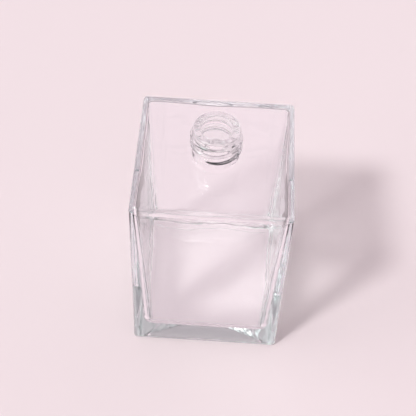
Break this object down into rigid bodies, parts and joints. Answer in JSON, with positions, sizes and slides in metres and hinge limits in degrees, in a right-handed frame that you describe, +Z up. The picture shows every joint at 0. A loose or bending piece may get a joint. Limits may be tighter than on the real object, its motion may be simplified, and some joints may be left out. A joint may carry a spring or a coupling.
{
  "type": "square glass bottle",
  "caption": "Square clear-glass bottle with a thick base, a rounded hollow and an open screw neck, for aftershave or another grooming liquid.",
  "frame": {"origin": "on the table plane, under the middle of the base", "axes": "+Z up along the neck, front face towards -Y, +X to the right of the front face"},
  "size_m": [0.055, 0.055, 0.0915],
  "materials": {
    "clear_glass": "fire-polished"
  },
  "bodies": {
    "root": {"base": "clear_glass", "body": "clear_glass", "shoulder": "clear_glass", "neck": "clear_glass", "screw_thread": "clear_glass"}
  },
  "joints": []
}
